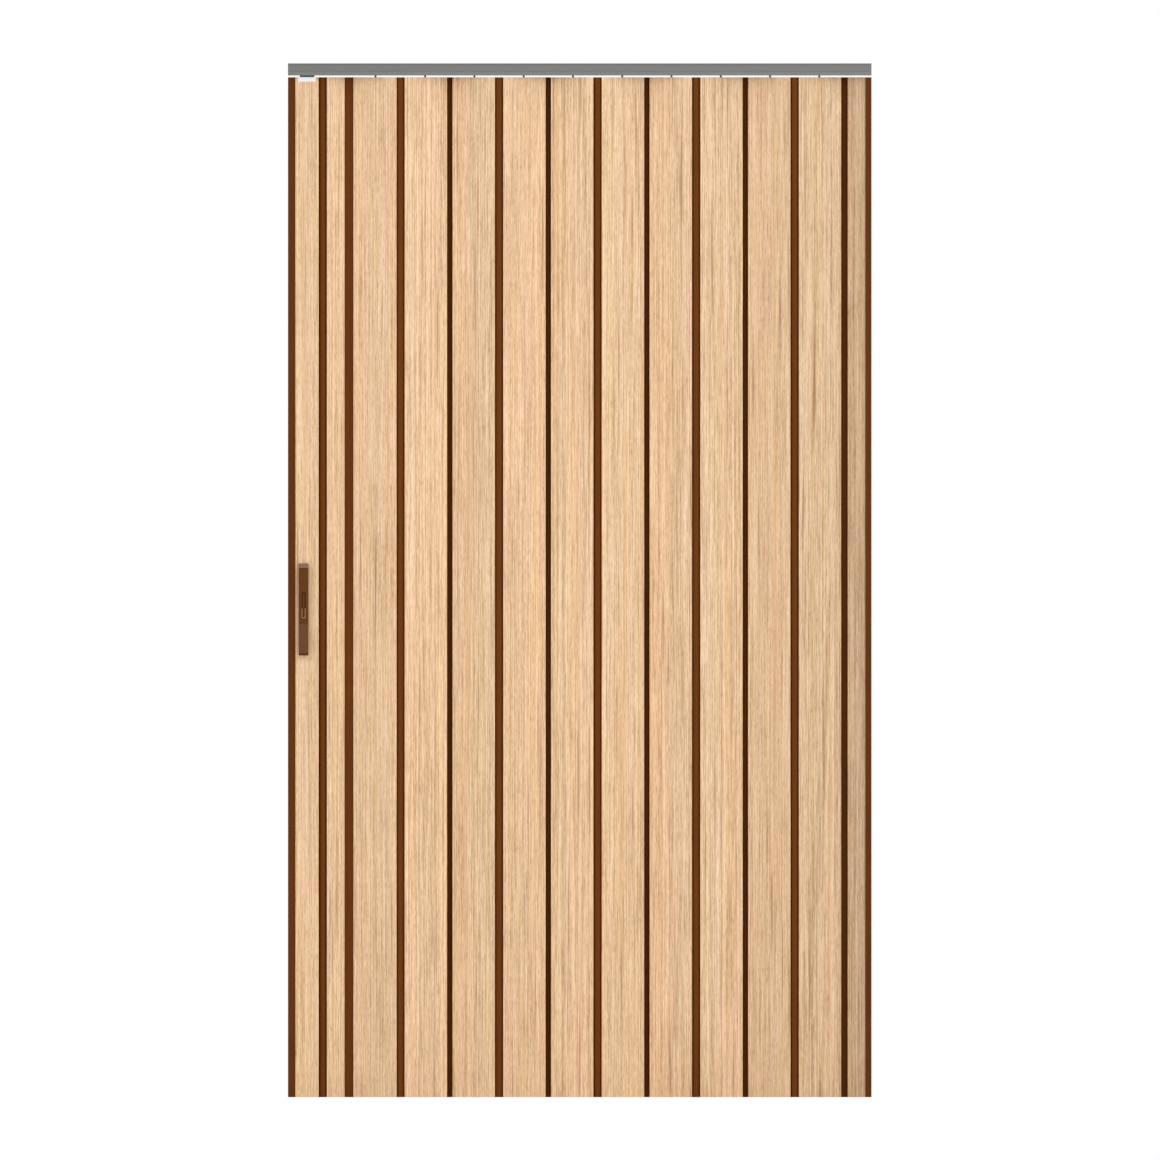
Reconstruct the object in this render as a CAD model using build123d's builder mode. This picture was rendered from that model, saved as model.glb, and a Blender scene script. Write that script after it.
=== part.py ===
from build123d import *
import os
from math import acos, atan2, cos, degrees, hypot, radians, sin

os.makedirs("parts", exist_ok=True)

# Overall size. The origin is the centre of the rail's top face, X runs along the rail and
# the front of the door looks along minus Y.
door_width = 1157.2
door_height = 2050.0
door_left = -door_width / 2
door_right = door_width / 2

# Top rail: an inverted channel with lips that carry the runners
rail_height = 24.0
rail_half_depth = 17.0
rail_skirt_half_depth = 18.0
rail_skirt_height = 7.0
rail_wall = 1.4
rail_slot = 10.0
screw_hole_radius = 2.25
rail_inner_holes = 330.0
rail_outer_holes = 990.0
lip_top = -rail_height + rail_wall

# Leaf: everything that hangs under the rail
rail_gap = 3.5
leaf_top = -rail_height - rail_gap
leaf_bottom = -door_height
leaf_height = leaf_top - leaf_bottom

# Panels: hollow double-walled boards
panel_count = 10
panel_width = 89.3
panel_thickness = 10.0
panel_skin = 0.8
panel_rib = 0.8
panel_corner = 1.2
panel_tilt = radians(18.0)
panel_pitch = 97.7
second_panel_x = -306.55
first_panel_x = -404.9
first_panel_tilt = radians(14.0)
cells_each_side = 3
narrow_cells = 3
runner_cell = 8.0

# Narrow panel beside the lock stile, and the half panel at the wall
narrow_left_corner = -501.7
narrow_right_corner = -465.8
narrow_tilt = radians(16.0)
half_left_corner = 530.9
half_tilt = radians(20.3)

# Hinge strips: soft strips whose heads sit in slots along the panels' edges
strip_thickness = 1.4
strip_length = 19.3
strip_neck_radius = 1.3
strip_steepest = radians(110.0)
halvings = 60
evening_steps = 20
slot_lip = 1.2
slot_depth = 2.4
slot_width = 6.0
slot_mouth = 1.8
slot_web = 1.0
head_depth = 1.8
head_width = 5.2
slot_block = slot_lip + slot_depth + slot_web

# Lock stile with its edge seal
stile_width = 47.0
stile_depth = 16.0
stile_wall = 1.6
stile_rib = 1.4
stile_cells = 3
seal_width = 14.4
seal_wall = 1.4
stile_left = door_left + seal_width
stile_x = stile_left + stile_width / 2
stile_right = stile_left + stile_width

# Wall profile: a channel that the half panel runs into
profile_width = 12.2
profile_half_depth = 13.0
profile_wall = 1.6
profile_left = door_right - profile_width
boss_mouth_x = 571.5
profile_hole_y = -7.5
profile_inner_holes = 600.0
profile_outer_holes = 1800.0
profile_middle_z = (leaf_bottom + leaf_top) / 2

# Short strip between the half panel and the wall profile
end_strip_radius = 8.0

# Runners
runner_head_length = 18.0
runner_head_depth = 14.0
runner_head_height = 6.0
runner_head_chamfer = 2.0
runner_collar_length = 10.0
runner_collar_depth = 9.0
runner_stem_radius = 2.0
plug_length = 25.0
plug_lead_in = 1.5

# Guide on top of the lock stile
cap_width = 31.4
cap_plate = 0.7
cap_apron = 9.3
cap_apron_thickness = 1.2
cap_plug_width = 11.0
cap_plug_depth = 12.8
trolley_width = 29.0
trolley_neck_depth = 9.0
trolley_head_depth = 15.0
trolley_head_height = 9.0
trolley_rounding = 1.5

# Handles: a plate on each face of the stile, with a latch in its recess
handle_x = -547.6
handle_width = 19.2
handle_top = -991.5
handle_bottom = -1174.1
handle_depth = 8.0
handle_bevel = 9.0
handle_bevel_edge = 1.6
handle_rounding = 1.2
flare_top = -1111.7
flare_reach = 8.0
flare_thickness = 3.0
lip_height = 4.5
lip_undercut = 1.5
finger_gap_top = -1122.0
recess_top = -1048.3
recess_bottom = -1100.9
recess_width = 8.0
recess_depth = 3.0
latch_rib_width = 1.6
latch_rib_height = 1.8
button_height = 20.4
button_rim = 1.2
button_rim_height = 3.2
button_body_height = 2.4
button_width = 7.5


def save(piece, name):
    piece.part.label = name
    export_step(piece.part, f"parts/{name}.step")


def leaf_plane(x, y, tilt):
    """The plane across a leaf piece at its foot, with its X along the piece's width."""
    return Plane(origin=(x, y, leaf_bottom), x_dir=(cos(tilt), sin(tilt), 0), z_dir=(0, 0, 1))


def edge_slots(width):
    """Cut the slots for the hinge strips' heads into both edges of the section being drawn."""
    for side in (-1, 1):
        pocket_x = side * (width / 2 - slot_lip - slot_depth / 2)
        mouth_x = side * (width / 2 - slot_lip / 2)
        with Locations((pocket_x, 0)):
            Rectangle(slot_depth, slot_width, mode=Mode.SUBTRACT)
        with Locations((mouth_x, 0)):
            Rectangle(slot_lip, slot_mouth, mode=Mode.SUBTRACT)


def row_of_cells(start, end, count, rib, height):
    """Cut equal cells between two places along the section being drawn, with ribs between."""
    cell = (end - start - (count - 1) * rib) / count
    with Locations(((start + end) / 2, 0)):
        with GridLocations(cell + rib, 0, count, 1):
            Rectangle(cell, height, mode=Mode.SUBTRACT)


def make_panel(name, x, tilt):
    """A full panel, with a square cell at its middle for the runner's plug."""
    inner = panel_thickness - 2 * panel_skin
    cells_start = runner_cell / 2 + panel_rib
    cells_end = panel_width / 2 - slot_block
    with BuildPart() as panel:
        with BuildSketch(leaf_plane(x, 0, tilt)):
            RectangleRounded(panel_width, panel_thickness, panel_corner)
            edge_slots(panel_width)
            Rectangle(runner_cell, inner, mode=Mode.SUBTRACT)
            row_of_cells(cells_start, cells_end, cells_each_side, panel_rib, inner)
            row_of_cells(-cells_end, -cells_start, cells_each_side, panel_rib, inner)
        extrude(amount=leaf_height)
    save(panel, name)


def make_narrow_board(name, x, y, width, tilt):
    """A board narrower than a panel, with a row of cells and no runner."""
    inner = panel_thickness - 2 * panel_skin
    cells_end = width / 2 - slot_block
    with BuildPart() as board:
        with BuildSketch(leaf_plane(x, y, tilt)):
            RectangleRounded(width, panel_thickness, panel_corner)
            edge_slots(width)
            row_of_cells(-cells_end, cells_end, narrow_cells, panel_rib, inner)
        extrude(amount=leaf_height)
    save(board, name)


def strip_bend(chord, lean_a, lean_b):
    """Crown radius and the steepest angle at each side of a strip of full length on a chord."""
    low = max(lean_a, lean_b)
    high = strip_steepest
    for _ in range(halvings):
        steep_a = (low + high) / 2
        steep_b = steep_a
        for _ in range(evening_steps):
            spread = sin(steep_a) + sin(steep_b)
            necks = strip_neck_radius * (spread - sin(lean_a) - sin(lean_b))
            crown = (chord - necks) / spread
            skew = strip_neck_radius * (cos(lean_a) - cos(lean_b)) / (crown + strip_neck_radius)
            steep_b = acos(cos(steep_a) - skew)
        turned = steep_a + steep_b
        length = strip_neck_radius * (turned - lean_a - lean_b) + crown * turned
        if length < strip_length:
            low = steep_a
        else:
            high = steep_a
    return crown, steep_a, steep_b


def strip_head(mouth, tilt, side):
    """Draw the head of a strip, in the slot whose mouth is here, seated on the slot's lips."""
    reach = side * (slot_lip + head_depth / 2)
    with Locations((mouth[0] + reach * cos(tilt), mouth[1] + reach * sin(tilt))):
        Rectangle(head_depth, head_width, rotation=degrees(tilt))


def make_hinge(name, mouth_a, tilt_a, mouth_b, tilt_b, fold):
    """A soft strip from one slot's mouth to the next, crowned to the back (1) or front (-1)."""
    run_x = mouth_b[0] - mouth_a[0]
    run_y = mouth_b[1] - mouth_a[1]
    slope = atan2(run_y, run_x)
    lean_a = fold * (tilt_a - slope)
    lean_b = fold * (slope - tilt_b)
    crown, steep_a, steep_b = strip_bend(hypot(run_x, run_y), lean_a, lean_b)
    heading = (cos(tilt_a), sin(tilt_a))
    inside_a = (mouth_a[0] - slot_lip * cos(tilt_a), mouth_a[1] - slot_lip * sin(tilt_a))
    inside_b = (mouth_b[0] + slot_lip * cos(tilt_b), mouth_b[1] + slot_lip * sin(tilt_b))
    turn_a = fold * degrees(steep_a - lean_a)
    turn_over = -fold * degrees(steep_a + steep_b)
    turn_b = fold * degrees(steep_b - lean_b)
    with BuildPart() as hinge:
        with BuildSketch(Plane.XY.offset(leaf_bottom)):
            with BuildLine():
                Line(inside_a, mouth_a)
                neck_a = JernArc(mouth_a, heading, strip_neck_radius, turn_a)
                arch = JernArc(neck_a @ 1, neck_a % 1, crown, turn_over)
                neck_b = JernArc(arch @ 1, arch % 1, strip_neck_radius, turn_b)
                Line(neck_b @ 1, inside_b)
            trace(line_width=strip_thickness)
            strip_head(mouth_a, tilt_a, -1)
            strip_head(mouth_b, tilt_b, 1)
        extrude(amount=leaf_height)
    save(hinge, name)


def make_end_hinge(name, mouth, tilt):
    """The short strip that turns from the half panel's edge straight into the wall profile."""
    heading = (cos(tilt), sin(tilt))
    inside_a = (mouth[0] - slot_lip * cos(tilt), mouth[1] - slot_lip * sin(tilt))
    with BuildPart() as hinge:
        with BuildSketch(Plane.XY.offset(leaf_bottom)):
            with BuildLine():
                Line(inside_a, mouth)
                bend = JernArc(mouth, heading, end_strip_radius, -degrees(tilt))
                Line(bend @ 1, (boss_mouth_x + slot_lip, 0))
            trace(line_width=strip_thickness)
            strip_head(mouth, tilt, -1)
            strip_head((boss_mouth_x, 0), 0, 1)
        extrude(amount=leaf_height)
    save(hinge, name)


def make_rail(name):
    """The top rail, with a skirt that stands out a little and screw holes through its web."""
    skirt_top = -rail_height + rail_skirt_height
    step = rail_skirt_half_depth - rail_half_depth
    with BuildPart() as rail:
        with BuildSketch(Plane.YZ.offset(door_left)):
            with BuildLine():
                Polyline(
                    (0, 0),
                    (rail_half_depth, 0),
                    (rail_half_depth, skirt_top + step),
                    (rail_skirt_half_depth, skirt_top),
                    (rail_skirt_half_depth, -rail_height),
                    (rail_slot / 2, -rail_height),
                    (rail_slot / 2, lip_top),
                    (rail_skirt_half_depth - rail_wall, lip_top),
                    (rail_skirt_half_depth - rail_wall, skirt_top),
                    (rail_half_depth - rail_wall, skirt_top + step),
                    (rail_half_depth - rail_wall, -rail_wall),
                    (0, -rail_wall),
                )
                mirror(about=Plane.YZ)
            make_face()
        extrude(amount=door_width)
        with Locations(Plane.XY):
            with GridLocations(rail_inner_holes, 0, 2, 1):
                Hole(screw_hole_radius, depth=2 * rail_wall)
            with GridLocations(rail_outer_holes, 0, 2, 1):
                Hole(screw_hole_radius, depth=2 * rail_wall)
    save(rail, name)


def make_wall_profile(name):
    """The channel at the wall, with a slotted boss for the last strip and screw holes."""
    web_left = door_right - profile_wall
    boss_half_depth = slot_width / 2 + panel_rib
    middle_x = (profile_left + door_right) / 2
    with BuildPart() as profile:
        with BuildSketch(Plane.XY.offset(leaf_bottom)):
            with Locations((middle_x, 0)):
                Rectangle(profile_width, 2 * profile_half_depth)
            with Locations((profile_left, 0)):
                Rectangle(
                    2 * (profile_width - profile_wall),
                    2 * (profile_half_depth - profile_wall),
                    mode=Mode.SUBTRACT,
                )
            with Locations(((boss_mouth_x + web_left) / 2, 0)):
                Rectangle(web_left - boss_mouth_x, 2 * boss_half_depth)
            with Locations((boss_mouth_x + slot_lip / 2, 0)):
                Rectangle(slot_lip, slot_mouth, mode=Mode.SUBTRACT)
            with Locations((boss_mouth_x + slot_lip + slot_depth / 2, 0)):
                Rectangle(slot_depth, slot_width, mode=Mode.SUBTRACT)
        extrude(amount=leaf_height)
        wall_face = Plane(
            origin=(door_right, profile_hole_y, profile_middle_z),
            x_dir=(0, 1, 0),
            z_dir=(1, 0, 0),
        )
        with Locations(wall_face):
            with GridLocations(0, profile_inner_holes, 1, 2):
                Hole(screw_hole_radius, depth=2 * profile_wall)
            with GridLocations(0, profile_outer_holes, 1, 2):
                Hole(screw_hole_radius, depth=2 * profile_wall)
    save(profile, name)


def make_stile(name):
    """The lock stile: a hollow board, deeper than the panels, with slots in both edges."""
    cells_end = stile_width / 2 - slot_block
    with BuildPart() as stile:
        with BuildSketch(leaf_plane(stile_x, 0, 0)):
            RectangleRounded(stile_width, stile_depth, panel_corner)
            edge_slots(stile_width)
            inner = stile_depth - 2 * stile_wall
            row_of_cells(-cells_end, cells_end, stile_cells, stile_rib, inner)
        extrude(amount=leaf_height)
    save(stile, name)


def make_seal(name):
    """The soft round-nosed seal on the stile's outer edge, with a foot in the stile's slot."""
    radius = seal_width / 2
    nose_x = door_left + radius
    with BuildPart() as seal:
        with BuildSketch(Plane.XY.offset(leaf_bottom)):
            with Locations(((nose_x + stile_left) / 2, 0)):
                Rectangle(stile_left - nose_x, 2 * radius)
            with Locations((nose_x, 0)):
                Circle(radius)
            offset(amount=-seal_wall, mode=Mode.SUBTRACT)
            with Locations((stile_left + slot_lip / 2, 0)):
                Rectangle(slot_lip, strip_thickness)
            strip_head((stile_left, 0), 0, 1)
        extrude(amount=leaf_height)
    save(seal, name)


def make_runner(name, x, tilt):
    """A runner: a head on the rail's lips, a collar in the rail's slot, a stem and a plug."""
    plug_plane = Plane(
        origin=(x, 0, leaf_top - plug_length),
        x_dir=(cos(tilt), sin(tilt), 0),
        z_dir=(0, 0, 1),
    )
    with BuildPart() as runner:
        with BuildSketch(Plane.XY.offset(lip_top)):
            with Locations((x, 0)):
                Rectangle(runner_head_length, runner_head_depth)
        extrude(amount=runner_head_height)
        chamfer(runner.edges().group_by(Axis.Z)[-1], runner_head_chamfer)
        with BuildSketch(Plane.XY.offset(-rail_height)):
            with Locations((x, 0)):
                Rectangle(runner_collar_length, runner_collar_depth)
        extrude(amount=rail_wall)
        with BuildSketch(Plane.XY.offset(leaf_top)):
            with Locations((x, 0)):
                Circle(runner_stem_radius)
        extrude(amount=rail_gap)
        with BuildSketch(plug_plane):
            Rectangle(runner_cell, runner_cell)
        extrude(amount=plug_length)
        chamfer(runner.edges().group_by(Axis.Z)[0], plug_lead_in)
    save(runner, name)


def make_guide_cap(name):
    """The cap on top of the stile, with an apron down each face and a plug in its cell."""
    with BuildPart() as cap:
        with BuildSketch(Plane.XY.offset(leaf_top)):
            with Locations((stile_x, 0)):
                Rectangle(cap_width, stile_depth + 2 * cap_apron_thickness)
        extrude(amount=cap_plate)
        with BuildSketch(Plane.XY.offset(leaf_top + cap_plate - cap_apron)):
            apron_y = (stile_depth + cap_apron_thickness) / 2
            with Locations((stile_x, apron_y), (stile_x, -apron_y)):
                Rectangle(cap_width, cap_apron_thickness)
        extrude(amount=cap_apron - cap_plate)
        with BuildSketch(Plane.XY.offset(leaf_top - plug_length)):
            with Locations((stile_x, 0)):
                Rectangle(cap_plug_width, cap_plug_depth)
        extrude(amount=plug_length)
    save(cap, name)


def make_trolley(name):
    """The slider over the stile: a long head on the rail's lips and a neck through the slot."""
    with BuildPart() as trolley:
        with BuildSketch(Plane.XY.offset(lip_top)):
            with Locations((stile_x, 0)):
                Rectangle(trolley_width, trolley_head_depth)
        extrude(amount=trolley_head_height)
        fillet(trolley.edges().group_by(Axis.Z)[-1], trolley_rounding)
        with BuildSketch(Plane.XY.offset(leaf_top + cap_plate)):
            with Locations((stile_x, 0)):
                Rectangle(trolley_width, trolley_neck_depth)
        extrude(amount=lip_top - leaf_top - cap_plate)
    save(trolley, name)


def handle_face_plane(side, depth, z):
    """A plane on the handle, looking out of the door's front (-1) or back (1), with Y up."""
    y = side * (stile_depth / 2 + depth)
    return Plane(origin=(handle_x, y, z), x_dir=(-side, 0, 0), z_dir=(0, side, 0))


def make_handle(name, side):
    """A handle plate with a bevelled top, a recess and a lower end that flares off the stile."""
    face = stile_depth / 2
    outer = face + handle_depth
    reach = outer + flare_reach
    middle_z = (recess_top + recess_bottom) / 2
    with BuildPart() as handle:
        with BuildSketch(Plane.YZ.offset(handle_x - handle_width / 2)):
            with BuildLine():
                Polyline(
                    (side * face, handle_top),
                    (side * (face + handle_bevel_edge), handle_top),
                    (side * outer, handle_top - handle_bevel),
                    (side * outer, flare_top),
                    (side * reach, handle_bottom + lip_height),
                    (side * (reach - lip_undercut), handle_bottom),
                    (side * (reach - flare_thickness), handle_bottom),
                    (side * face, finger_gap_top),
                    close=True,
                )
            make_face()
        extrude(amount=handle_width)
        outward = handle.faces().filter_by(lambda f: side * f.normal_at().Y > 0.5)
        upright = outward.edges().filter_by(lambda e: abs(e.tangent_at(0.5).X) < 0.5)
        fillet(upright, handle_rounding)
        with BuildSketch(handle_face_plane(side, handle_depth, middle_z)):
            SlotOverall(recess_top - recess_bottom, recess_width, rotation=90)
        extrude(amount=-recess_depth, mode=Mode.SUBTRACT)
    save(handle, name)


def tongue(half_width, low, high, mode=Mode.ADD):
    """Draw an upright tongue with a round lower end, from the middle of that end up."""
    with Locations((0, low)):
        Circle(half_width, mode=mode)
    with Locations((0, (low + high) / 2)):
        Rectangle(2 * half_width, high - low, mode=mode)


def make_latch(name, side):
    """The latch in the recess: a thin rib over a button with a raised U-shaped rim."""
    floor = handle_depth - recess_depth
    arc_z = recess_bottom + recess_width / 2
    rim_top = recess_bottom + button_height
    rib_top = recess_top - recess_width / 2
    with BuildPart() as latch:
        with BuildSketch(handle_face_plane(side, floor, 0)):
            tongue(button_width / 2, arc_z, rim_top)
        extrude(amount=button_rim_height)
        with BuildSketch(handle_face_plane(side, floor + button_body_height, 0)):
            tongue(button_width / 2 - button_rim, arc_z, rim_top)
        extrude(amount=button_rim_height - button_body_height, mode=Mode.SUBTRACT)
        with BuildSketch(handle_face_plane(side, floor, 0)):
            with Locations((0, (rib_top + rim_top) / 2)):
                Rectangle(latch_rib_width, rib_top - rim_top)
        extrude(amount=latch_rib_height)
    save(latch, name)


# Where each board of the leaf stands in plan: x, y, width and tilt, from left to right
half_thickness = panel_thickness / 2
narrow_inset = half_thickness * sin(narrow_tilt)
narrow_left = narrow_left_corner - narrow_inset
narrow_right = narrow_right_corner - narrow_inset
narrow_width = (narrow_right - narrow_left) / cos(narrow_tilt)
half_right = boss_mouth_x - end_strip_radius * sin(half_tilt)
half_left = half_left_corner + half_thickness * sin(half_tilt)
half_width = (half_right - half_left) / cos(half_tilt)
half_right_y = end_strip_radius * (1 - cos(half_tilt))
half_middle_y = half_right_y + half_width / 2 * sin(half_tilt)
first_edge_y = panel_width / 2 * sin(first_panel_tilt)
narrow_y = first_edge_y - narrow_width / 2 * sin(narrow_tilt)

boards = [("lock_stile", stile_x, 0, stile_width, 0)]
boards.append(
    ("narrow_panel", (narrow_left + narrow_right) / 2, narrow_y, narrow_width, narrow_tilt)
)
boards.append(("panel_01", first_panel_x, 0, panel_width, -first_panel_tilt))
for number in range(2, panel_count + 1):
    panel_x = second_panel_x + (number - 2) * panel_pitch
    lean = panel_tilt if number % 2 == 0 else -panel_tilt
    boards.append((f"panel_{number:02d}", panel_x, 0, panel_width, lean))
boards.append(
    ("end_half_panel", (half_left + half_right) / 2, half_middle_y, half_width, -half_tilt)
)

make_rail("top_rail")
make_wall_profile("wall_profile")
make_stile("lock_stile")
make_seal("edge_seal")

for board_name, board_x, board_y, board_width, board_tilt in boards[1:]:
    if board_width == panel_width:
        make_panel(board_name, board_x, board_tilt)
        make_runner(board_name.replace("panel", "runner"), board_x, board_tilt)
    else:
        make_narrow_board(board_name, board_x, board_y, board_width, board_tilt)

for number, (left_board, right_board) in enumerate(zip(boards, boards[1:]), start=1):
    _, left_x, left_y, left_width, left_tilt = left_board
    _, right_x, right_y, right_width, right_tilt = right_board
    left_mouth = (
        left_x + left_width / 2 * cos(left_tilt),
        left_y + left_width / 2 * sin(left_tilt),
    )
    right_mouth = (
        right_x - right_width / 2 * cos(right_tilt),
        right_y - right_width / 2 * sin(right_tilt),
    )
    fold_side = 1 if number % 2 == 0 else -1
    make_hinge(f"hinge_{number:02d}", left_mouth, left_tilt, right_mouth, right_tilt, fold_side)

make_end_hinge("hinge_13", (half_right, half_right_y), -half_tilt)
make_guide_cap("stile_guide_cap")
make_trolley("stile_trolley")
for handle_side, side_name in ((-1, "front"), (1, "back")):
    make_handle(f"handle_{side_name}", handle_side)
    make_latch(f"latch_{side_name}", handle_side)
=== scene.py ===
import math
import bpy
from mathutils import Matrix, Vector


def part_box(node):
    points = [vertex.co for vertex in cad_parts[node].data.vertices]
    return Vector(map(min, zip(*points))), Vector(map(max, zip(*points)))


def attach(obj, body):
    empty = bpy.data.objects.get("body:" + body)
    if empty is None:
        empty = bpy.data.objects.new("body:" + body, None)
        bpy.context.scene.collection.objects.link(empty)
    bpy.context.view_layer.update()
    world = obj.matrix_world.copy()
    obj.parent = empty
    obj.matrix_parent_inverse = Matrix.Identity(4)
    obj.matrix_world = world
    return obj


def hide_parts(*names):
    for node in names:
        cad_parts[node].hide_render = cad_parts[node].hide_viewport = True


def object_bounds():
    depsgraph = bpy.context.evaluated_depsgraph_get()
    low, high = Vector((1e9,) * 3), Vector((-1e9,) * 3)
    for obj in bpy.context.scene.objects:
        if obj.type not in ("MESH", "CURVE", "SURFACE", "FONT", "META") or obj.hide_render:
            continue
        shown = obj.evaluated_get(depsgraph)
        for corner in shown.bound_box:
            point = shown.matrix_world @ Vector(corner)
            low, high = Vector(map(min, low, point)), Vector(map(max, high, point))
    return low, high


bl_info = {
    "name": "Accordion folding door",
    "version": (1, 0, 0),
    "blender": (4, 5, 0),
    "location": "3D View > Sidebar > Folding door",
    "description": "Dresses the folding door's frame with its finishes and sets its stage",
    "category": "Object",
}

import bpy
from bpy.props import FloatProperty, FloatVectorProperty, PointerProperty
from mathutils import Vector

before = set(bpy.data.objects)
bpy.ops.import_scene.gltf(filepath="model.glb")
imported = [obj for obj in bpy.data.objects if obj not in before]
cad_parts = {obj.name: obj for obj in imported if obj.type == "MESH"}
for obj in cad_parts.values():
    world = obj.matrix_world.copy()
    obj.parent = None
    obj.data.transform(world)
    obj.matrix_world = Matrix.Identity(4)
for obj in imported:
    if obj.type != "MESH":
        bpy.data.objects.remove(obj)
cad_low, cad_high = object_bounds()

# The photograph is square, and the door stands in it at one even scale
PHOTO_SIDE = 1160
DOOR_LEFT_PIXEL = 287.95
DOOR_RIGHT_PIXEL = 871.5
DOOR_TOP_PIXEL = 63.4

BOARDS = [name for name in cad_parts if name.startswith("panel_")]
NARROW_BOARDS = ["narrow_panel", "end_half_panel"]
HINGES = [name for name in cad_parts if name.startswith("hinge_")]
FLAT_HINGES = ("hinge_02", "hinge_13")
RUNNERS = [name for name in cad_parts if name.startswith("runner_")]
HANDLES = ["handle_front", "handle_back"]
LATCHES = ["latch_front", "latch_back"]

# Painted light and shade on each board's foil against a plain one: brighter or darker by the
# board's lean and place
BOARD_LIGHT_AND_SHADE = {
    "narrow_panel": 1.03, "panel_01": 0.97, "panel_02": 1.03, "panel_03": 0.985,
    "panel_05": 1.02, "panel_06": 1.03, "panel_07": 0.99, "panel_09": 0.93, "panel_10": 0.93,
    "end_half_panel": 0.77,
}

# Half the thickness of a board and of the lock stile, in metres like all sizes here
BOARD_HALF_THICKNESS = 0.005
STILE_HALF_THICKNESS = 0.008

# How much the foil, the soft strips and the handles mirror, from 0 to 1
FOIL_GLOSS = 0.30
STRIP_GLOSS = 0.08
HANDLE_GLOSS = 0.10

# The oak print: how far a line wanders, how grain differs between boards, and its tints
LINE_WANDER = 0.0022
SEEDS_A_METRE = 37.0
COOL_TINT = (0.972, 1.006, 1.018)
ROSY_TINT = (1.032, 0.992, 0.985)
PALE_TINT = (1.0, 1.0, 1.065)
GOLDEN_TINT = (1.0, 1.0, 0.975)

# Where a handle's finish and painted shade change: the bevel with painted shade at its crease, the
# lip with its painted shade and the rubbed stretch, from the handle's ends, and the recess with
# its painted shade, from the door's middle plane, the handle's middle line and the latch's upper
# end
BEVEL_HEIGHT = 0.0105
CREASE_HALF_WIDTH = 0.0015
CREASE_SOFTNESS = 0.0007
LIP_HEIGHT = 0.0036
LIP_SOFTNESS = 0.0006
RUB_HEIGHT = 0.034
RUB_REACH = 0.05
RECESS_FACE = 0.01545
RECESS_HALF_WIDTH = 0.0044
RECESS_HEADROOM = 0.00385
EDGE_SOFTNESS = 0.00025

# The latch: its button's height, how deep its rim is and how far its rib stands off the floor
BUTTON_HEIGHT = 0.0203
RIM_DEPTH = 0.0004
RIB_FOOT = 0.0011
LATCH_SOFTNESS = 0.0001

# The rail: how high its skirt, painted paler as a highlight, and the darker rim along its top are,
# and how softly they end
SKIRT_HEIGHT = 0.007
SKIRT_SOFTNESS = 0.0005
RIM_HEIGHT = 0.0043
RIM_SOFTNESS = 0.0006

# The painted shadow of a handle on the foil: how far past the handle it reaches sideways and
# endways, and how softly it fades
SHADOW_REACH_X = 0.005
SHADOW_REACH_Z = 0.002
SHADOW_SOFTNESS_X = 0.007
SHADOW_SOFTNESS_Z = 0.012

# The stage: the sides of its floor and lights, and where the lights and the camera stand
FLOOR_SIDE = 9.0
LIGHT_SIDE = 2.4
KEY_PLACE = (1.1, -3.6, 0.6)
FILL_PLACE = (-1.4, 3.4, 0.5)
CAMERA_Y = -6.0


def linear(red, green, blue):
    """A screen colour from 0 to 255 in the linear values that shaders use."""
    values = []
    for level in (red / 255, green / 255, blue / 255):
        values.append(level / 12.92 if level <= 0.04045 else ((level + 0.055) / 1.055) ** 2.4)
    return tuple(values)


class Value:
    """A shader socket that takes part in Python arithmetic."""

    def __init__(self, graph, socket):
        self.graph = graph
        self.socket = socket

    def math(self, operation, first, second=0.0):
        """A number worked out from one or two others."""
        return self.graph.node("ShaderNodeMath", {"operation": operation}, {0: first, 1: second})

    def __add__(self, other):
        return self.math("ADD", self, other)

    __radd__ = __add__

    def __sub__(self, other):
        return self.math("SUBTRACT", self, other)

    def __rsub__(self, other):
        return self.math("SUBTRACT", other, self)

    def __truediv__(self, other):
        return self.math("DIVIDE", self, other)

    def __mul__(self, other):
        return self.math("MULTIPLY", self, other)

    __rmul__ = __mul__

    def __gt__(self, other):
        return self.math("GREATER_THAN", self, other)

    def __abs__(self):
        return self.math("ABSOLUTE", self)

    def sine(self):
        return self.math("SINE", self)

    def floor(self):
        return self.math("FLOOR", self)

    def fade(self, start, end):
        """0 at start and 1 at end, smooth between them and level outside them."""
        inputs = {0: self, 1: start, 2: end, 3: 0.0, 4: 1.0}
        settings = {"interpolation_type": "SMOOTHSTEP"}
        return self.graph.node("ShaderNodeMapRange", settings, inputs)

    def above(self, limit, softness):
        """1 over a limit and 0 under it, with a soft step between."""
        return self.fade(limit - softness, limit + softness)

    def below(self, limit, softness):
        """1 under a limit and 0 over it, with a soft step between."""
        return self.fade(limit + softness, limit - softness)

    def swing(self, amount):
        """Random values around 0.5 as values around 0, with so much between 0 and 1."""
        return (self - 0.5) * amount


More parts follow.
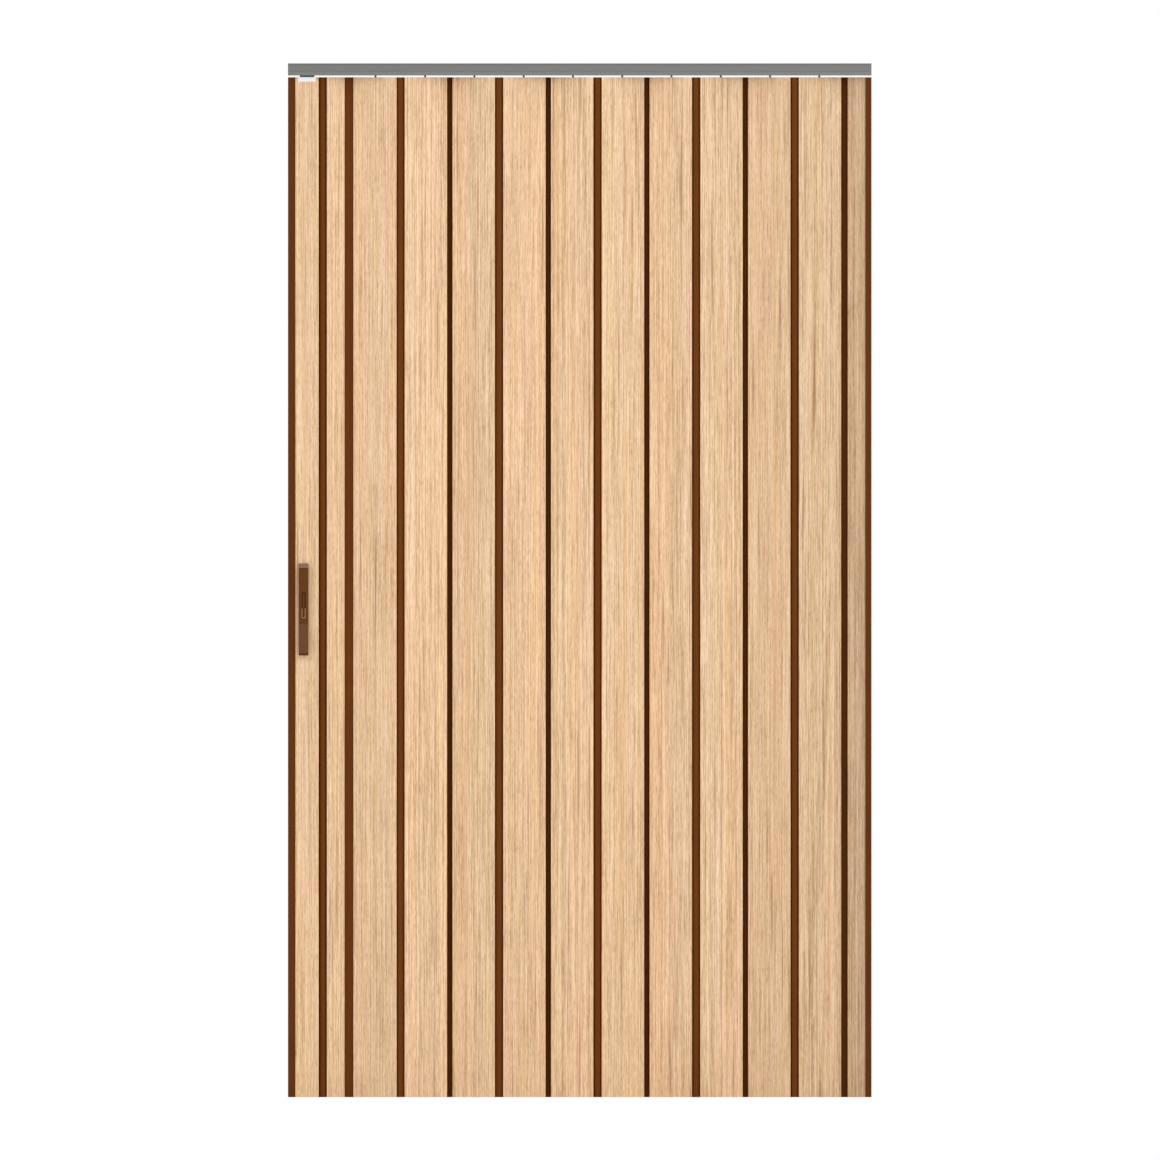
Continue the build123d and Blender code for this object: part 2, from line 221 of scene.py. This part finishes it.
class Graph:
    """The nodes of one material, all made by one method, with its surface's point in metres."""

    def __init__(self, name):
        self.material = bpy.data.materials.new(name)
        self.material.use_nodes = True
        self.tree = self.material.node_tree
        self.tree.nodes.clear()
        self.point = self.parts_of(self.node("ShaderNodeTexCoord", output="Object"))

    def node(self, kind, settings=None, inputs=None, output=0):
        """Add a node with its settings, then its sockets' values or links; give one output."""
        made = self.tree.nodes.new(kind)
        for key, value in (settings or {}).items():
            if key == "stops":
                self.set_stops(made.color_ramp.elements, value)
            else:
                setattr(made, key, value)
        for key, value in (inputs or {}).items():
            if isinstance(value, Value):
                self.tree.links.new(value.socket, made.inputs[key])
            else:
                made.inputs[key].default_value = value
        return Value(self, made.outputs[output]) if len(made.outputs) else None

    @staticmethod
    def set_stops(elements, stops):
        """Give a colour ramp its positions and colours."""
        while len(elements) < len(stops):
            elements.new(1.0)
        for element, (position, colour) in zip(elements, stops):
            element.position = position
            element.color = (*colour[:3], 1.0)

    def ramp(self, factor, stops):
        """Colours that follow one another as a number rises from 0 to 1."""
        return self.node("ShaderNodeValToRGB", {"stops": stops}, {0: factor})

    def parts_of(self, vector):
        """The x, y and z of a vector."""
        return [self.node("ShaderNodeSeparateXYZ", None, {0: vector}, axis) for axis in range(3)]

    def facing(self):
        """Which way the surface faces, as x, y and z."""
        return self.parts_of(self.node("ShaderNodeTexCoord", output="Normal"))

    def noise(self, x, y, z, detail=2.0, roughness=0.5):
        """Smooth random values around 0.5 over three numbers."""
        spot = self.node("ShaderNodeCombineXYZ", None, {0: x, 1: y, 2: z})
        inputs = {"Vector": spot, "Scale": 1.0, "Detail": detail, "Roughness": roughness}
        return self.node("ShaderNodeTexNoise", None, inputs)

    def spots(self, along_x, along_y, along_z, detail=2.0, roughness=0.5):
        """Smooth random values around 0.5 with so many spots a metre along each axis."""
        x, y, z = self.point
        return self.noise(x * along_x, y * along_y, z * along_z, detail, roughness)

    def mix(self, factor, first, second, blend="MIX"):
        """A blend of two colours."""
        settings = {"data_type": "RGBA", "blend_type": blend}
        inputs = {0: factor, 6: self.full(first), 7: self.full(second)}
        return self.node("ShaderNodeMix", settings, inputs, 2)

    def shade(self, colour, factor):
        """A colour made brighter or darker by a number."""
        grey = self.node("ShaderNodeCombineXYZ", None, {0: factor, 1: factor, 2: factor})
        return self.mix(1.0, colour, grey, "MULTIPLY")

    @staticmethod
    def full(colour):
        """A colour in the form that a shader's socket takes."""
        return colour if isinstance(colour, Value) else (*colour[:3], 1.0)

    def bump(self, height, strength, distance):
        """A surface that seems to rise and fall with a number, by a distance in metres."""
        inputs = {"Height": height, "Strength": strength, "Distance": distance}
        return self.node("ShaderNodeBump", None, inputs)

    def finish(self, colour, roughness, normal=None, gloss=0.5):
        """End the material in one shader, with its gloss set on the shader's own socket."""
        inputs = {"Base Color": self.full(colour), "Roughness": roughness}
        inputs["Specular IOR Level"] = gloss
        if normal is not None:
            inputs["Normal"] = normal
        shader = self.node("ShaderNodeBsdfPrincipled", None, inputs)
        self.node("ShaderNodeOutputMaterial", None, {"Surface": shader})
        return self.material


class DoorSizes(bpy.types.PropertyGroup):
    """Sizes of the door's finishes."""

    line_width: FloatProperty(
        name="Grain line width", description="Width of a fine line in the oak grain",
        default=0.0021, min=0.0005, unit="LENGTH")
    band_width: FloatProperty(
        name="Grain band width", description="Width of a lighter or darker band in the grain",
        default=0.020, min=0.005, unit="LENGTH")
    slat_width: FloatProperty(
        name="Slat width", description="Width of a printed slat in the oak foil",
        default=0.042, min=0.01, unit="LENGTH")
    pore_width: FloatProperty(
        name="Pore width", description="Width of the finest pores in the grain",
        default=0.0007, min=0.0002, unit="LENGTH")
    foil_thickness: FloatProperty(
        name="Foil thickness", description="How deep the oak foil lies on a board",
        default=0.0004, min=0.0001, unit="LENGTH")
    edge_depth: FloatProperty(
        name="Soft edge depth", description="How deep the brown edge of a board goes in",
        default=0.0035, min=0.0005, unit="LENGTH")
    line_pitch: FloatProperty(
        name="Extrusion line pitch", description="Distance between the fine lines on a strip",
        default=0.0009, min=0.0002, unit="LENGTH")
    cap_width: FloatProperty(
        name="Cap width", description="Width of the guide cap on the lock stile",
        default=0.0355, min=0.01, unit="LENGTH")
    cap_apron: FloatProperty(
        name="Cap apron", description="How far the guide cap reaches down the stile's faces",
        default=0.0093, min=0.002, unit="LENGTH")
    cap_wall: FloatProperty(
        name="Cap wall", description="Thickness of the guide cap's aprons",
        default=0.0012, min=0.0005, unit="LENGTH")
    cap_plate: FloatProperty(
        name="Cap plate", description="Thickness of the guide cap over the stile's end",
        default=0.0007, min=0.0003, unit="LENGTH")
    cap_rounding: FloatProperty(
        name="Cap rounding", description="Softness of the guide cap's moulded edges",
        default=0.0003, min=0.0001, unit="LENGTH")
    floor_gap: FloatProperty(
        name="Gap over the floor", description="How far the door hangs above the floor",
        default=0.008, min=0.0, unit="LENGTH")


class DoorColours(bpy.types.PropertyGroup):
    """Colours of the door's finishes."""

    oak_light: FloatVectorProperty(
        name="Oak, light", description="The lightest lines of the oak foil",
        default=linear(254, 222, 184), subtype="COLOR", min=0, max=1)
    oak_middle: FloatVectorProperty(
        name="Oak, middle", description="The body colour of the oak foil",
        default=linear(230, 193, 150), subtype="COLOR", min=0, max=1)
    oak_dark: FloatVectorProperty(
        name="Oak, dark", description="The darker lines of the oak foil",
        default=linear(183, 144, 103), subtype="COLOR", min=0, max=1)
    oak_streak: FloatVectorProperty(
        name="Oak, streak", description="The few long dark streaks of the oak foil",
        default=linear(158, 116, 78), subtype="COLOR", min=0, max=1)
    oak_amber: FloatVectorProperty(
        name="Oak, amber", description="The few broad amber streaks of the oak foil",
        default=linear(229, 180, 130), subtype="COLOR", min=0, max=1)
    # The colour of the handle's painted shadow on the foil
    handle_shadow: FloatVectorProperty(
        name="Handle shadow", description="The foil painted darker round a handle as its shadow",
        default=linear(186, 154, 124), subtype="COLOR", min=0, max=1)
    core: FloatVectorProperty(
        name="Board core", description="The bare plastic inside and at the cut ends",
        default=linear(226, 212, 188), subtype="COLOR", min=0, max=1)
    # Painted light: lighter than the profiles' brown to make up for the shade on the hinge strips'
    # curved crowns
    brown: FloatVectorProperty(
        name="Brown strips", description="The soft hinge strips and the boards' soft edges",
        default=linear(104, 54, 12), subtype="COLOR", min=0, max=1)
    profile: FloatVectorProperty(
        name="Brown profiles", description="The edge seal and the wall profile",
        default=linear(94, 48, 9), subtype="COLOR", min=0, max=1)
    handle: FloatVectorProperty(
        name="Handle brown", description="The moulded handles and latches",
        default=linear(97, 54, 14), subtype="COLOR", min=0, max=1)
    # Painted light on the handle's faces that look up
    painted_top_light: FloatVectorProperty(
        name="Handle bloom", description="The painted light on the handle's faces that look up",
        default=linear(142, 108, 92), subtype="COLOR", min=0, max=1)
    latch_rib: FloatVectorProperty(
        name="Latch rib", description="The thin rib over the latch's button",
        default=linear(98, 78, 36), subtype="COLOR", min=0, max=1)
    latch_rim: FloatVectorProperty(
        name="Latch rim", description="The raised rim round the latch's button",
        default=linear(176, 134, 104), subtype="COLOR", min=0, max=1)
    rail: FloatVectorProperty(
        name="Rail grey", description="The painted top rail",
        default=linear(112, 113, 110), subtype="COLOR", min=0, max=1)
    cap: FloatVectorProperty(
        name="Cap white", description="The guide cap on the lock stile",
        default=linear(240, 242, 246), subtype="COLOR", min=0, max=1)
    runner: FloatVectorProperty(
        name="Runner grey", description="The runners and the slider in the rail",
        default=linear(62, 60, 60), subtype="COLOR", min=0, max=1)
    floor: FloatVectorProperty(
        name="Floor", description="The pale floor",
        default=linear(246, 245, 243), subtype="COLOR", min=0, max=1)


class StageLights(bpy.types.PropertyGroup):
    """Strengths of the studio's lights."""

    surround: FloatProperty(
        name="Surround", description="Strength of the white surround", default=1.0, min=0.0)
    key_power: FloatProperty(
        name="Key light", description="Power of the large soft light in front",
        default=22.0, min=0.0, unit="POWER")
    fill_power: FloatProperty(
        name="Fill light", description="Power of the soft light behind",
        default=10.0, min=0.0, unit="POWER")


def dress(name, material):
    """Give a frame node its material."""
    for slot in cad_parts[name].material_slots:
        slot.material = material


def front_normal(name):
    """Which way the largest flat face on the front of a node looks."""
    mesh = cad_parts[name].data
    fronts = [face for face in mesh.polygons if face.normal.y < -0.5]
    return max(fronts, key=lambda face: face.area).normal.copy()


def painted_handle_shadow(x, z):
    """How much painted shadow darkens the foil round a handle, from 0 to 1."""
    low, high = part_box("handle_front")
    middle = (low + high) / 2
    half = (high - low) / 2
    side = abs(x - middle.x).below(half.x + SHADOW_REACH_X, SHADOW_SOFTNESS_X)
    end = abs(z - middle.z).below(half.z + SHADOW_REACH_Z, SHADOW_SOFTNESS_Z)
    return side * end


class OakPrint:
    """The oak printed on one board's foil, in layers that follow gently wandering lines."""

    def __init__(self, graph, across, seed, sizes):
        self.graph = graph
        self.across = across
        self.z = graph.point[2]
        self.seed = seed
        self.lines = 1 / sizes.line_width
        self.bands = 1 / sizes.band_width
        drift = graph.noise(across * 14.0, self.z * 2.4, seed)
        self.wander = across + drift.swing(LINE_WANDER)
        self.long_lines = self.layer(2, self.lines * 0.9, 3.5)
        self.short_lines = self.layer(3, self.lines * 1.2, 17.0)
        self.fibres = self.layer(13, 1 / sizes.pore_width, 24.0, 2.0, 0.6)
        self.pores = self.layer(10, 0.6 / sizes.pore_width, 42.0).fade(0.585, 0.66)
        self.slats = across / sizes.slat_width + seed
        self.slat = self.slats.floor()
        self.slat_warmth = graph.noise(self.slat * 5.1, self.z * 0.4, seed + 12)

    def layer(self, number, strips, changes, detail=1.0, roughness=0.5):
        """Random values, with so many strips a metre across and changes a metre along."""
        across, along = self.wander * strips, self.z * changes
        return self.graph.noise(across, along, self.seed + number, detail, roughness)

    def lightness(self):
        """How light the print is, around 0.5, from its lines, flecks, bands and slats."""
        full_lines = self.layer(1, self.lines, 0.45)
        flecks = self.layer(4, self.lines * 1.5, 85.0)
        ribbons = self.layer(5, self.bands * 3.1, 1.4)
        clouds = self.layer(6, self.bands, 1.1)
        slat_tone = self.graph.noise(self.slat * 7.3, self.z * 0.5, self.seed + 11)
        seam = (self.slats - self.slat).fade(0.035, 0.0) * slat_tone.fade(0.4, 0.6)
        lit = full_lines.swing(0.80) + self.long_lines.swing(0.92) + self.short_lines.swing(0.78)
        lit = lit + flecks.swing(0.72) + self.fibres.swing(0.85) + ribbons.swing(0.15)
        return lit + clouds.swing(0.05) + slat_tone.swing(0.09) - seam * 0.14 + 0.5

    def tinted(self, colour):
        """A colour with rosier and cooler, golden and paler stretches."""
        warmth = self.layer(7, self.bands * 1.5, 0.9)
        thread = self.layer(8, self.lines * 0.45, 2.5, 2.0)
        rosy = (warmth * 0.30 + thread * 0.20 + self.slat_warmth * 0.50).fade(0.38, 0.62)
        rosiness = self.graph.mix(rosy, COOL_TINT, ROSY_TINT)
        colour = self.graph.mix(1.0, colour, rosiness, "MULTIPLY")
        golden = self.layer(14, self.bands * 1.8, 1.2).fade(0.36, 0.64)
        yellowness = self.graph.mix(golden, PALE_TINT, GOLDEN_TINT)
        return self.graph.mix(1.0, colour, yellowness, "MULTIPLY")

    def streaked(self, colour, colours):
        """A colour with amber streaks, ruled lines, knots and pores over it."""
        graph = self.graph
        amber = self.layer(16, self.bands * 1.4, 0.5).fade(0.60, 0.70)
        colour = graph.mix(amber * 0.40, colour, colours.oak_amber)
        ruled = graph.noise(self.across * (self.lines * 0.95), self.z * 5.0, self.seed + 15, 1.0)
        ruled = ruled.fade(0.58, 0.66) * self.slat_warmth.fade(0.54, 0.44)
        colour = graph.mix(ruled * 0.34, colour, colours.oak_streak)
        knots = self.layer(9, self.bands * 2.6, 2.6)
        knots = knots.fade(0.60, 0.76) * self.long_lines.fade(0.70, 0.36)
        colour = graph.mix(knots * 0.75, colour, colours.oak_streak)
        return graph.mix(self.pores * 0.32, colour, colours.oak_streak)


def oak_foil(name, sizes, colours, half_thickness, tone):
    """Light oak foil on both faces of one board, over a bare plastic core and brown soft edges."""
    graph = Graph(f"oak_foil_{name}")
    x, y, z = graph.point
    low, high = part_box(name)
    middle = (low + high) / 2
    normal = front_normal(name)
    depth = (x - middle.x) * normal.x + (y - middle.y) * normal.y
    along = (x - middle.x) * -normal.y + (y - middle.y) * normal.x

    oak = OakPrint(graph, along + middle.x, middle.x * SEEDS_A_METRE, sizes)
    stops = ((0.0, colours.oak_dark), (0.5, colours.oak_middle), (1.0, colours.oak_light))
    colour = oak.tinted(graph.ramp(oak.lightness(), stops))
    colour = oak.streaked(colour, colours)
    if name == "lock_stile":
        # Painted shadow of the handle on the stile's foil round it
        colour = graph.mix(painted_handle_shadow(x, z) * 0.5, colour, colours.handle_shadow)
    # Painted light and shade: the board's tone
    colour = graph.shade(colour, tone)

    turn_x, turn_y, _ = graph.facing()
    sideways = abs(turn_x * -normal.y + turn_y * normal.x)
    reach = ((high.x - low.x) - 2 * half_thickness * abs(normal.x)) / (2 * abs(normal.y))
    soft_edge = (abs(along) > reach - sizes.edge_depth) * (sideways > 0.6)
    bare = 1 - (abs(depth) > half_thickness - sizes.foil_thickness)
    core = graph.shade(colours.core, 1 + graph.spots(60.0, 60.0, 8.0).swing(0.12))
    colour = graph.mix(bare, colour, core)
    colour = graph.mix(soft_edge, colour, colours.brown)
    relief = oak.long_lines.swing(0.4) + oak.fibres.swing(0.6) - oak.pores * 0.7
    roughness = 0.52 + oak.short_lines.swing(0.16) + oak.pores * 0.08 + bare * 0.12
    bump = graph.bump(relief, 0.20, 0.00025)
    return graph.finish(colour, roughness, bump, FOIL_GLOSS)


def soft_strip(name, sizes, brown, fold_side=0):
    """Soft brown plastic with the fine lines of its extrusion, and painted shade inside a fold."""
    graph = Graph(name)
    x, y, _ = graph.point
    rub = graph.spots(240.0, 240.0, 3.0, 3.0)
    cloud = graph.spots(30.0, 30.0, 9.0)
    lines = ((x + y * 0.6) * (2 * math.pi / sizes.line_pitch)).sine()
    _, turn_y, _ = graph.facing()
    # Painted shade on the side of the strip inside its fold
    painted_fold_shade = (turn_y * fold_side).fade(0.1, 0.5)
    colour = graph.shade(brown, 1 - painted_fold_shade * 0.32 + rub.swing(0.34) + cloud.swing(0.26))
    relief = lines * 0.5 + rub.swing(0.8)
    roughness = 0.52 + rub.swing(0.24) + cloud.swing(0.16)
    bump = graph.bump(relief, 0.22, 0.00012)
    return graph.finish(colour, roughness, bump, STRIP_GLOSS)


def recess_of_handle(x, y, z):
    """How far inside a handle's recess a point is, from 0 to 1."""
    low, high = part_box("handle_front")
    latch_low, latch_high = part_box("latch_front")
    deep = abs(y).below(RECESS_FACE, EDGE_SOFTNESS)
    inside = abs(x - (low.x + high.x) / 2).below(RECESS_HALF_WIDTH, EDGE_SOFTNESS)
    over = z.above(latch_low.z, EDGE_SOFTNESS)
    under = z.below(latch_high.z + RECESS_HEADROOM, EDGE_SOFTNESS)
    return deep * inside * over * under


def moulded_brown(colours):
    """Hard moulded plastic with a fine grain, painted lighter where it faces up as light from
    above, and with painted shade at the crease, the lip and the recess.
    """
    graph = Graph("moulded_brown")
    x, y, z = graph.point
    low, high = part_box("handle_front")
    grain = graph.spots(1500.0, 1500.0, 1500.0, 2.0, 0.6)
    cloud = graph.spots(60.0, 60.0, 25.0)
    colour = graph.shade(colours.handle, 1 + cloud.swing(0.26) + grain.swing(0.18))
    _, _, turn_z = graph.facing()
    # Painted light on the faces that look up, as light from above
    upward = turn_z * 1.2
    painted_top_light = (upward - 0.01).fade(0.0, 1.0) + upward.fade(0.0, 0.12) * 0.08
    colour = graph.mix(painted_top_light, colour, colours.painted_top_light)
    # Painted shade under the bevel's crease and along the lip at the handle's foot
    crease_shade = abs(z - (high.z - BEVEL_HEIGHT)).below(CREASE_HALF_WIDTH, CREASE_SOFTNESS)
    lip_shade = z.below(low.z + LIP_HEIGHT, LIP_SOFTNESS)
    colour = graph.shade(colour, 1 - crease_shade * 0.25 - lip_shade * 0.25)
    # Painted shade in the recess
    colour = graph.shade(colour, 1 - recess_of_handle(x, y, z) * 0.06)
    rubbed = abs(z - (low.z + RUB_HEIGHT)).fade(RUB_REACH, 0.0)
    roughness = 0.44 - rubbed * 0.08 + grain.swing(0.12)
    bump = graph.bump(grain, 0.16, 0.00010)
    return graph.finish(colour, roughness, bump, HANDLE_GLOSS)


def latch_brown(colours):
    """The latch's plastic: a paler rim round the button and an olive rib, over a body painted
    darker as shade in the recess.
    """
    graph = Graph("latch_brown")
    _, y, z = graph.point
    low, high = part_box("latch_front")
    grain = graph.spots(1500.0, 1500.0, 1500.0, 2.0, 0.6)
    rim = abs(y).above(-low.y - RIM_DEPTH, LATCH_SOFTNESS)
    over_button = z.above(low.z + BUTTON_HEIGHT, EDGE_SOFTNESS)
    rib = over_button * abs(y).above(-high.y + RIB_FOOT, LATCH_SOFTNESS)
    # The whole latch painted darker as shade in the recess
    colour = graph.shade(colours.handle, 0.80 + grain.swing(0.10))
    colour = graph.mix(rib * 0.7, colour, colours.latch_rib)
    colour = graph.mix(rim * 0.9, colour, colours.latch_rim)
    roughness = 0.44 + grain.swing(0.12)
    bump = graph.bump(grain, 0.16, 0.00010)
    return graph.finish(colour, roughness, bump, HANDLE_GLOSS)


def painted_rail(colours):
    """Satin grey paint on a drawn rail, with faint draw lines, a darker rim and a painted
    highlight on its skirt.
    """
    graph = Graph("painted_rail")
    _, _, z = graph.point
    low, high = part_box("top_rail")
    lines = graph.spots(2.0, 900.0, 900.0, 3.0, 0.6)
    cloud = graph.spots(7.0, 40.0, 40.0)
    peel = graph.spots(420.0, 420.0, 420.0, 1.0)
    # Painted highlight: the skirt painted paler as light caught on it
    skirt_highlight = z.below(low.z + SKIRT_HEIGHT, SKIRT_SOFTNESS)
    rim = z.above(high.z - RIM_HEIGHT, RIM_SOFTNESS)
    tone = 0.95 + skirt_highlight * 0.08 - rim * 0.20 + lines.swing(0.18) + cloud.swing(0.10)
    colour = graph.shade(colours.rail, tone)
    relief = lines.swing(0.7) + peel.swing(0.5)
    roughness = 0.42 + lines.swing(0.14) + cloud.swing(0.08)
    return graph.finish(colour, roughness, graph.bump(relief, 0.18, 0.00012))


def plain_plastic(name, colour, roughness):
    """Moulded plastic with a faint mottle and an even sheen."""
    graph = Graph(name)
    mottle = graph.spots(320.0, 320.0, 320.0)
    cloud = graph.spots(45.0, 45.0, 45.0)
    shaded = graph.shade(colour, 1 + mottle.swing(0.08) + cloud.swing(0.08))
    rough = roughness + mottle.swing(0.12)
    return graph.finish(shaded, rough, graph.bump(mottle, 0.10, 0.00012))


def floor_finish(colours):
    """A pale matt floor."""
    graph = Graph("pale_floor")
    cloud = graph.spots(2.0, 2.0, 1.0, 3.0)
    return graph.finish(graph.shade(colours.floor, 0.99 + cloud.swing(0.02)), 0.9)


def guide_cap(sizes):
    """The moulded cap over the stile's top end: a U on its head, drawn out along the rail."""
    low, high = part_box("stile_guide_cap")
    foot = high.z - sizes.cap_apron
    under = high.z - sizes.cap_plate
    inner_front = low.y + sizes.cap_wall
    inner_back = high.y - sizes.cap_wall
    outline = (
        (low.y, foot), (low.y, high.z), (high.y, high.z), (high.y, foot),
        (inner_back, foot), (inner_back, under), (inner_front, under), (inner_front, foot),
    )
    count = len(outline)
    middle_x = (low.x + high.x) / 2
    ends = (middle_x - sizes.cap_width / 2, middle_x + sizes.cap_width / 2)
    points = [(x, y, z) for x in ends for y, z in outline]
    faces = [tuple(range(count)), tuple(reversed(range(count, 2 * count)))]
    for corner in range(count):
        after = (corner + 1) % count
        faces.append((corner, corner + count, after + count, after))
    mesh = bpy.data.meshes.new("guide_cap")
    mesh.from_pydata(points, [], faces)
    cap = bpy.data.objects.new("guide_cap", mesh)
    bpy.context.collection.objects.link(cap)
    rounding = cap.modifiers.new("soft_edges", "BEVEL")
    rounding.width = sizes.cap_rounding
    rounding.segments = 2
    return cap


class DoorOperator:
    """What every step shares: the settings and its place in the undo list."""

    bl_options = {"REGISTER", "UNDO"}

    @staticmethod
    def settings(context):
        """The door's sizes and colours."""
        return context.scene.door_sizes, context.scene.door_colours


class DOOR_OT_panels(DoorOperator, bpy.types.Operator):
    """Give the folding panels their oak foil, each with a stretch of grain of its own"""

    bl_idname = "door.panels"
    bl_label = "Folding panels"

    def execute(self, context):
        sizes, colours = self.settings(context)
        for name in BOARDS + NARROW_BOARDS:
            # Each board's painted light and shade
            tone = BOARD_LIGHT_AND_SHADE.get(name, 1.0)
            dress(name, oak_foil(name, sizes, colours, BOARD_HALF_THICKNESS, tone))
        return {"FINISHED"}


class DOOR_OT_stile(DoorOperator, bpy.types.Operator):
    """Give the lock stile its oak foil and its edge seal a soft brown finish"""

    bl_idname = "door.stile"
    bl_label = "Lock stile and edge seal"

    def execute(self, context):
        sizes, colours = self.settings(context)
        foil = oak_foil("lock_stile", sizes, colours, STILE_HALF_THICKNESS, 1.0)
        dress("lock_stile", foil)
        dress("edge_seal", soft_strip("edge_seal_brown", sizes, colours.profile))
        return {"FINISHED"}


class DOOR_OT_hinges(DoorOperator, bpy.types.Operator):
    """Give the hinge strips and the wall profile their brown plastic"""

    bl_idname = "door.hinges"
    bl_label = "Hinge strips and wall profile"

    def execute(self, context):
        sizes, colours = self.settings(context)
        flat_strip = soft_strip("flat_strip_brown", sizes, colours.brown)
        front_strip = soft_strip("front_strip_brown", sizes, colours.brown, 1)
        back_strip = soft_strip("back_strip_brown", sizes, colours.brown, -1)
        for name in HINGES:
            low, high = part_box(name)
            dress(name, back_strip if low.y + high.y > 0 else front_strip)
        for name in FLAT_HINGES:
            dress(name, flat_strip)
        dress("wall_profile", soft_strip("wall_profile_brown", sizes, colours.profile))
        return {"FINISHED"}


class DOOR_OT_rail(DoorOperator, bpy.types.Operator):
    """Paint the top rail and finish the runners and the slider"""

    bl_idname = "door.rail"
    bl_label = "Rail and runners"

    def execute(self, context):
        _, colours = self.settings(context)
        dress("top_rail", painted_rail(colours))
        runner = plain_plastic("runner_plastic", colours.runner, 0.42)
        for name in RUNNERS + ["stile_trolley"]:
            dress(name, runner)
        return {"FINISHED"}


class DOOR_OT_cap(DoorOperator, bpy.types.Operator):
    """Mould the white guide cap on top of the lock stile"""

    bl_idname = "door.cap"
    bl_label = "Guide cap"

    def execute(self, context):
        sizes, colours = self.settings(context)
        cap = guide_cap(sizes)
        cap.data.materials.append(plain_plastic("cap_plastic", colours.cap, 0.38))
        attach(cap, "root")
        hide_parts("stile_guide_cap")
        return {"FINISHED"}


class DOOR_OT_handles(DoorOperator, bpy.types.Operator):
    """Finish the handles and the latches in their recesses"""

    bl_idname = "door.handles"
    bl_label = "Handles and latches"

    def execute(self, context):
        _, colours = self.settings(context)
        plastic = moulded_brown(colours)
        for name in HANDLES:
            dress(name, plastic)
        latch = latch_brown(colours)
        for name in LATCHES:
            dress(name, latch)
        return {"FINISHED"}


def area_light(name, place, target, power):
    """A square soft light that looks at a target."""
    lamp = bpy.data.lights.new(name, "AREA")
    lamp.shape = "SQUARE"
    lamp.size = LIGHT_SIDE
    lamp.energy = power
    made = bpy.data.objects.new(name, lamp)
    made.location = place
    made.rotation_euler = (Vector(target) - Vector(place)).to_track_quat("-Z", "Y").to_euler()
    bpy.context.collection.objects.link(made)


class DOOR_OT_stage(DoorOperator, bpy.types.Operator):
    """Set the pale floor, the white surround, the soft lights and the camera"""

    bl_idname = "door.stage"
    bl_label = "Stage"

    def execute(self, context):
        sizes, colours = self.settings(context)
        lights = context.scene.stage_lights
        floor_z = cad_low.z - sizes.floor_gap
        bpy.ops.mesh.primitive_plane_add(size=FLOOR_SIDE, location=(0, 0, floor_z))
        floor = context.object
        floor.name = "floor"
        floor.data.materials.append(floor_finish(colours))

        world = bpy.data.worlds.new("white_surround")
        world.use_nodes = True
        backdrop = world.node_tree.nodes["Background"]
        backdrop.inputs["Color"].default_value = (1, 1, 1, 1)
        backdrop.inputs["Strength"].default_value = lights.surround
        context.scene.world = world
        context.scene.view_settings.view_transform = "Standard"

        middle = (cad_low + cad_high) / 2
        area_light("key_light", KEY_PLACE, middle, lights.key_power)
        area_light("fill_light", FILL_PLACE, middle, lights.fill_power)

        metres_a_pixel = (cad_high.x - cad_low.x) / (DOOR_RIGHT_PIXEL - DOOR_LEFT_PIXEL)
        photo_middle = PHOTO_SIDE / 2
        door_middle_pixel = (DOOR_LEFT_PIXEL + DOOR_RIGHT_PIXEL) / 2
        lens = bpy.data.cameras.new("camera")
        lens.type = "ORTHO"
        lens.ortho_scale = PHOTO_SIDE * metres_a_pixel
        camera = bpy.data.objects.new("camera", lens)
        camera.location = (
            middle.x + (photo_middle - door_middle_pixel) * metres_a_pixel,
            CAMERA_Y,
            cad_high.z - (photo_middle - DOOR_TOP_PIXEL) * metres_a_pixel,
        )
        camera.rotation_euler = (math.radians(90), 0, 0)
        context.collection.objects.link(camera)
        context.scene.camera = camera
        return {"FINISHED"}


STEPS = (
    DOOR_OT_panels, DOOR_OT_stile, DOOR_OT_hinges, DOOR_OT_rail, DOOR_OT_cap, DOOR_OT_handles,
    DOOR_OT_stage,
)


class DOOR_PT_sidebar(bpy.types.Panel):
    """The door's settings and steps."""

    bl_idname = "DOOR_PT_sidebar"
    bl_label = "Accordion folding door"
    bl_space_type = "VIEW_3D"
    bl_region_type = "UI"
    bl_category = "Folding door"

    def draw(self, context):
        for group in ("door_sizes", "door_colours", "stage_lights"):
            settings = getattr(context.scene, group)
            for key in settings.__annotations__:
                self.layout.prop(settings, key)
        for step in STEPS:
            self.layout.operator(step.bl_idname)


CLASSES = (DoorSizes, DoorColours, StageLights, *STEPS, DOOR_PT_sidebar)


def register():
    for item in CLASSES:
        bpy.utils.register_class(item)
    bpy.types.Scene.door_sizes = PointerProperty(type=DoorSizes)
    bpy.types.Scene.door_colours = PointerProperty(type=DoorColours)
    bpy.types.Scene.stage_lights = PointerProperty(type=StageLights)


def unregister():
    del bpy.types.Scene.stage_lights
    del bpy.types.Scene.door_colours
    del bpy.types.Scene.door_sizes
    for item in reversed(CLASSES):
        bpy.utils.unregister_class(item)


def main():
    """Register the add-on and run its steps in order."""
    register()
    bpy.ops.door.panels()
    bpy.ops.door.stile()
    bpy.ops.door.hinges()
    bpy.ops.door.rail()
    bpy.ops.door.cap()
    bpy.ops.door.handles()
    bpy.ops.door.stage()


if __name__ == "__main__":
    main()
